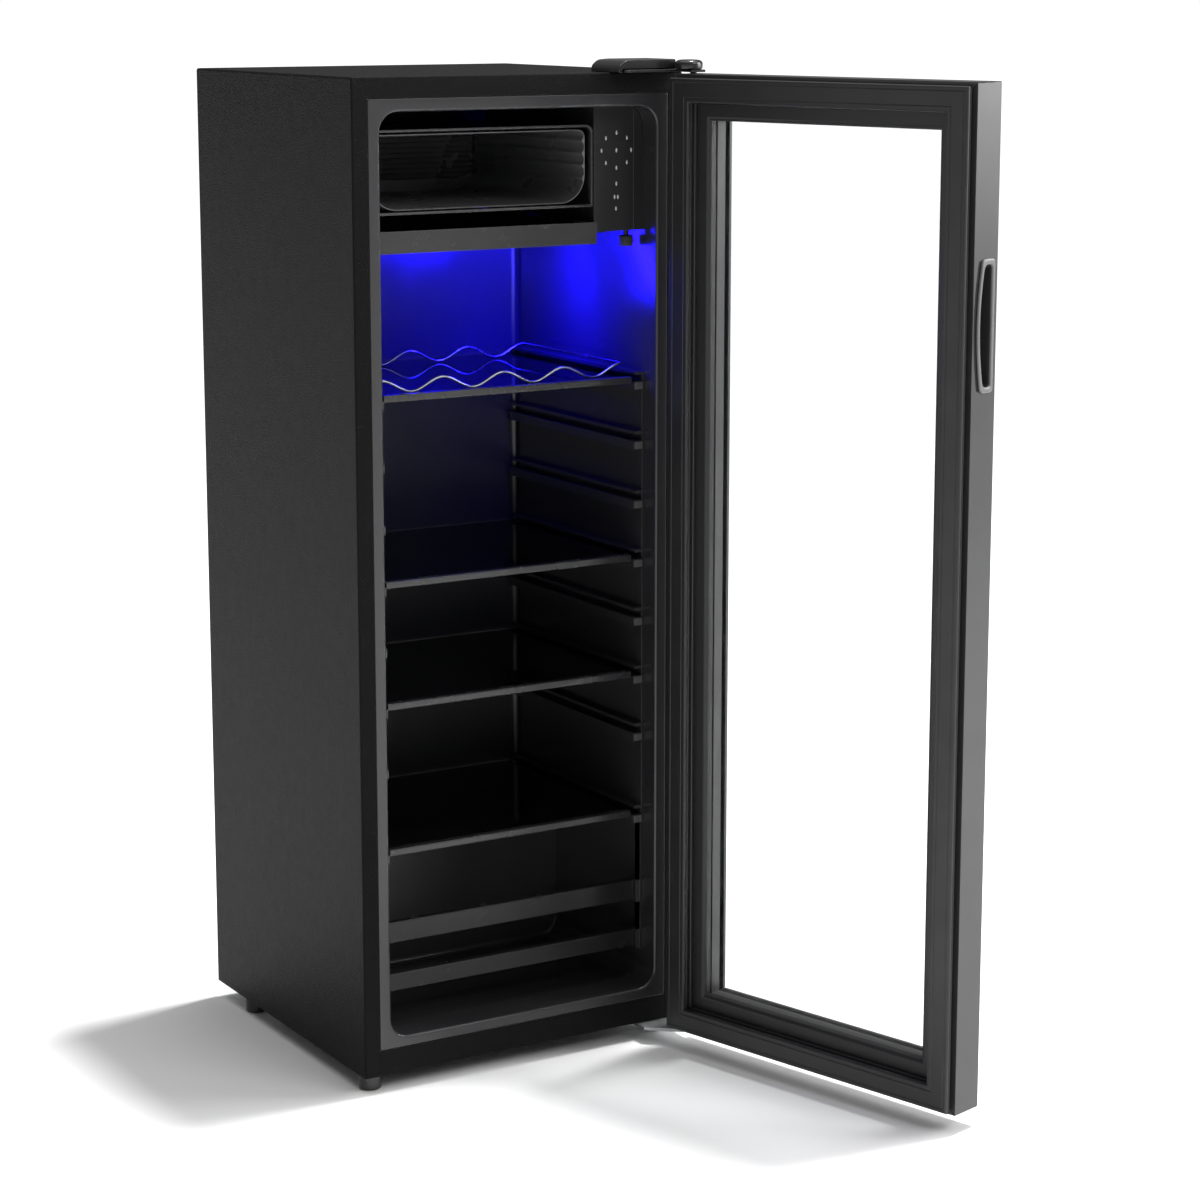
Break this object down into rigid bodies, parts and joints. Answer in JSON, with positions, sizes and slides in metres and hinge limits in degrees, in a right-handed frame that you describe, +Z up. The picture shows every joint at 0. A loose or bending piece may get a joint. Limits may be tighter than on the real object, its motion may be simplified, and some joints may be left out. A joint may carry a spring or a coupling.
{
  "type": "mini fridge",
  "caption": "Upright compact drinks fridge with a glass door on a right-hand hinge, sliding shelves, a chiller box, a drip tray and bottle guards.",
  "frame": {"origin": "on the floor, under the middle of the box round the fridge with its door standing open", "axes": "+Z up, +Y towards the back of the fridge, +X towards the hinge side"},
  "size_m": [0.5713, 0.8956, 1.2273],
  "materials": {
    "shell_paint": "satin",
    "bare_steel": "satin",
    "liner_plastic": "gloss",
    "foam": "matte",
    "black_plastic": "satin",
    "grey_plastic": "satin",
    "door_frame": "satin",
    "seal_rubber": "matte",
    "tinted_glass": "gloss",
    "clear_glass": "gloss",
    "aluminium": "satin",
    "black_enamel": "gloss",
    "copper": "polished",
    "blue_lens": "gloss"
  },
  "bodies": {
    "cabinet": {"outer_shell": "shell_paint", "front_apron": "shell_paint", "base_plate": "shell_paint", "back_panel": "shell_paint", "compressor_rail": "bare_steel", "bottom_hinge_plate": "bare_steel", "hinge_screw_left": "bare_steel", "hinge_screw_right": "bare_steel", "inner_liner": "liner_plastic", "shelf_rails_left": "liner_plastic", "shelf_rails_right": "liner_plastic", "foam_insulation": "foam", "top_hinge_plate": "black_enamel", "compressor": "black_enamel", "condenser_tube": "black_enamel", "condenser_wires": "black_enamel", "filter_drier": "copper", "grommet_front_left": "seal_rubber", "grommet_front_right": "seal_rubber", "grommet_rear_left": "seal_rubber", "grommet_rear_right": "seal_rubber", "cord_gland": "seal_rubber", "relay_cover": "black_plastic", "chiller_back": "black_plastic", "chiller_frame": "black_plastic", "tray_rail": "black_plastic", "control_housing": "black_plastic", "hinge_cover": "black_plastic", "hinge_pin_cap": "black_plastic", "thermostat": "grey_plastic", "evaporator": "aluminium", "lamp_lens": "blue_lens"},
    "door": {"door_handle_stile": "door_frame", "door_hinge_stile": "door_frame", "door_bottom_rail": "door_frame", "door_top_rail": "door_frame", "door_pull": "grey_plastic", "outer_pane": "clear_glass", "pane_spacer": "grey_plastic", "inner_pane": "clear_glass", "inner_frame": "black_plastic", "door_seal": "seal_rubber"},
    "shelf_1": {"shelf_1_glass": "tinted_glass", "shelf_1_trim": "grey_plastic"},
    "shelf_2": {"shelf_2_glass": "tinted_glass", "shelf_2_trim": "grey_plastic"},
    "shelf_3": {"shelf_3_glass": "tinted_glass", "shelf_3_trim": "grey_plastic"},
    "shelf_4": {"shelf_4_glass": "tinted_glass", "shelf_4_trim": "grey_plastic", "bottle_cradle": "aluminium"},
    "drip_tray": {"drip_tray": "black_plastic"},
    "thermostat_knob": {"thermostat_knob": "black_plastic"},
    "light_switch": {"light_switch": "grey_plastic"},
    "guard_bar_lower": {"guard_bar_lower": "grey_plastic"},
    "guard_bar_upper": {"guard_bar_upper": "grey_plastic"},
    "foot_front_left": {"foot_front_left": "black_plastic"},
    "foot_front_right": {"foot_front_right": "black_plastic"},
    "foot_rear_left": {"foot_rear_left": "black_plastic"},
    "foot_rear_right": {"foot_rear_right": "black_plastic"}
  },
  "joints": [
    {"name": "door_hinge", "type": "hinge", "parent": "cabinet", "child": "door", "pos_m": [0.1503, -0.0202, 0.622], "axis": [0, 0, 1], "range_deg": [-105.5, 24.5]},
    {"name": "shelf_1_slide", "type": "slide", "parent": "cabinet", "child": "shelf_1", "axis": [0, -1, 0], "range_m": [0, 0.27]},
    {"name": "shelf_2_slide", "type": "slide", "parent": "cabinet", "child": "shelf_2", "axis": [0, -1, 0], "range_m": [0, 0.27]},
    {"name": "shelf_3_slide", "type": "slide", "parent": "cabinet", "child": "shelf_3", "axis": [0, -1, 0], "range_m": [0, 0.27]},
    {"name": "shelf_4_slide", "type": "slide", "parent": "cabinet", "child": "shelf_4", "axis": [0, -1, 0], "range_m": [0, 0.27]},
    {"name": "drip_tray_slide", "type": "slide", "parent": "cabinet", "child": "drip_tray", "axis": [0, -1, 0], "range_m": [0, 0.25]},
    {"name": "thermostat_turn", "type": "hinge", "parent": "cabinet", "child": "thermostat_knob", "pos_m": [0.1083, 0.0648, 1.007], "axis": [0, 0, 1], "range_deg": [-140, 140]},
    {"name": "light_switch_rock", "type": "hinge", "parent": "cabinet", "child": "light_switch", "pos_m": [0.0763, 0.0778, 1.022], "axis": [1, 0, 0], "range_deg": [-7, 7]},
    {"name": "guard_bar_lower_lift", "type": "slide", "parent": "cabinet", "child": "guard_bar_lower", "axis": [0, 0, 1], "range_m": [0, 0.014]},
    {"name": "guard_bar_upper_lift", "type": "slide", "parent": "cabinet", "child": "guard_bar_upper", "axis": [0, 0, 1], "range_m": [0, 0.014]},
    {"name": "foot_front_left_turn", "type": "hinge", "parent": "cabinet", "child": "foot_front_left", "pos_m": [-0.2667, 0.0438, 0.012], "axis": [0, 0, 1], "continuous": true},
    {"name": "foot_front_right_turn", "type": "hinge", "parent": "cabinet", "child": "foot_front_right", "pos_m": [0.1403, 0.0438, 0.012], "axis": [0, 0, 1], "continuous": true},
    {"name": "foot_rear_left_turn", "type": "hinge", "parent": "cabinet", "child": "foot_rear_left", "pos_m": [-0.2667, 0.3698, 0.012], "axis": [0, 0, 1], "continuous": true},
    {"name": "foot_rear_right_turn", "type": "hinge", "parent": "cabinet", "child": "foot_rear_right", "pos_m": [0.1403, 0.3698, 0.012], "axis": [0, 0, 1], "continuous": true}
  ]
}
